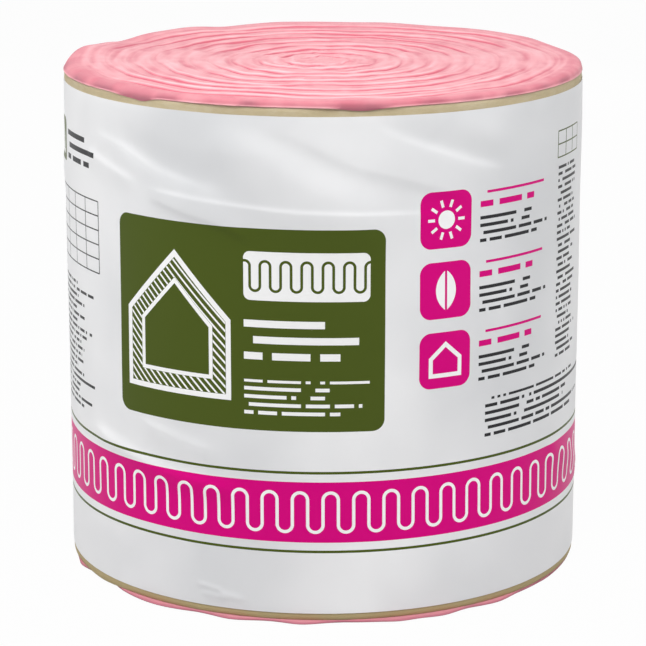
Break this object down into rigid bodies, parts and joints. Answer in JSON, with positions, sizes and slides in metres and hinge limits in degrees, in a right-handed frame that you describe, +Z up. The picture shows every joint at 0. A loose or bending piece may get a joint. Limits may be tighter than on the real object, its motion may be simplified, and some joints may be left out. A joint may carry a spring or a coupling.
{
  "type": "insulation roll",
  "caption": "Kraft-faced glass-wool batt rolled up and standing on end in a printed film wrap; it is unrolled between studs as thermal insulation.",
  "frame": {"origin": "centre of the foot, on the floor at the roll's axis", "axes": "+Z up along the roll's axis, +Y to the back, where the wrap laps over itself"},
  "size_m": [0.4, 0.4003, 0.391],
  "materials": {
    "wool": "soft matte pink glass wool, layered along its turns",
    "kraft_paper": "matte tan kraft paper with fine fibres",
    "wrap_film": null
  },
  "bodies": {
    "root": {"wool_roll": "wool", "kraft_facing": "kraft_paper", "film_wrap": "wrap_film"}
  },
  "joints": []
}
